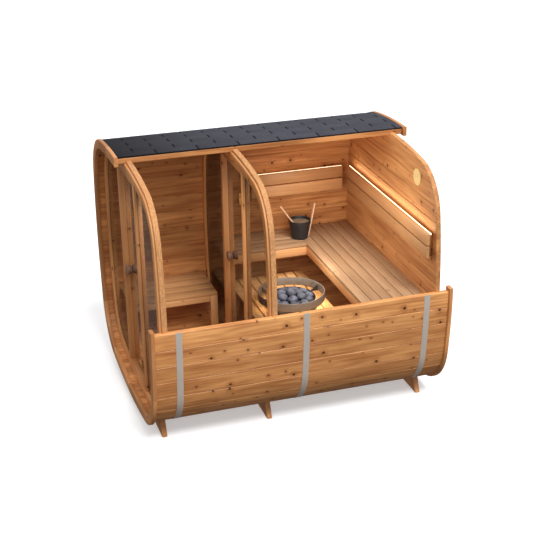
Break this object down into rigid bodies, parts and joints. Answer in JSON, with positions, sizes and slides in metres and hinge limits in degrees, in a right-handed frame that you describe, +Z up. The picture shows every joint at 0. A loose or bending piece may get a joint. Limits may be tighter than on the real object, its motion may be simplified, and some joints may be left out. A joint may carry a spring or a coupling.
{
  "type": "cutaway garden sauna",
  "caption": "Barrel-type garden sauna with a rounded-square stave shell, glass fronted changing room and hot room with benches and heater, with the near upper quarter of the shell cut away.",
  "frame": {"origin": "middle of the bounding box, on the ground under the cradles", "axes": "+X along the sauna to the back wall, +Y to the closed far side, +Z up"},
  "size_m": [2.43, 2.07, 2.1029],
  "materials": {
    "stave_wood": "oiled",
    "wall_wood": "oiled",
    "ring_wood": "oiled",
    "frame_wood": "planed",
    "bench_wood": "planed",
    "pale_wood": "planed",
    "knob_wood": "turned",
    "band_steel": "brushed",
    "shingle": "matt mineral",
    "brass": "satin",
    "glass": "bronze tinted",
    "light": "glowing diffuser",
    "heater_steel": "matt black",
    "stone": "rough",
    "guard_metal": "matt",
    "bucket_black": "matt black"
  },
  "bodies": {
    "sauna": {"near_wall": "stave_wood", "bottom_shell": "stave_wood", "far_wall": "stave_wood", "roof_shell": "stave_wood", "front_ring": "ring_wood", "back_ring": "ring_wood", "steel_bands": "band_steel", "roof_shingles": "shingle", "cradles": "ring_wood", "front_arch": "frame_wood", "front_posts": "frame_wood", "front_rails": "frame_wood", "front_side_panes": "glass", "front_hinges": "brass", "inner_arch": "frame_wood", "inner_posts": "frame_wood", "inner_rails": "frame_wood", "inner_side_panes": "glass", "inner_hinges": "brass", "back_wall": "wall_wood", "vent_cover": "pale_wood", "changing_bench": "bench_wood", "changing_bench_frame": "bench_wood", "far_bench": "bench_wood", "back_bench": "bench_wood", "bench_frame": "bench_wood", "far_backrest": "bench_wood", "back_backrest": "bench_wood", "backrest_battens": "bench_wood", "light_strips": "light", "foot_platform": "bench_wood", "platform_frame": "bench_wood", "heater_body": "heater_steel", "heater_stones": "stone", "heater_guard": "guard_metal", "guard_brackets": "heater_steel", "bucket": "bucket_black", "ladle": "pale_wood", "bucket_handle": "pale_wood"},
    "front_door": {"front_door_glass": "glass", "front_door_clamps": "brass", "front_door_knob": "knob_wood"},
    "inner_door": {"inner_door_glass": "glass", "inner_door_clamps": "brass", "inner_door_knob": "knob_wood"}
  },
  "joints": [
    {"name": "front_door_hinge", "type": "hinge", "parent": "sauna", "child": "front_door", "pos_m": [-1.14, -0.2637, 1.083], "axis": [0, 0, 1], "range_deg": [0, 90]},
    {"name": "inner_door_hinge", "type": "hinge", "parent": "sauna", "child": "inner_door", "pos_m": [-0.289, -0.2637, 1.083], "axis": [0, 0, 1], "range_deg": [0, 90]}
  ]
}
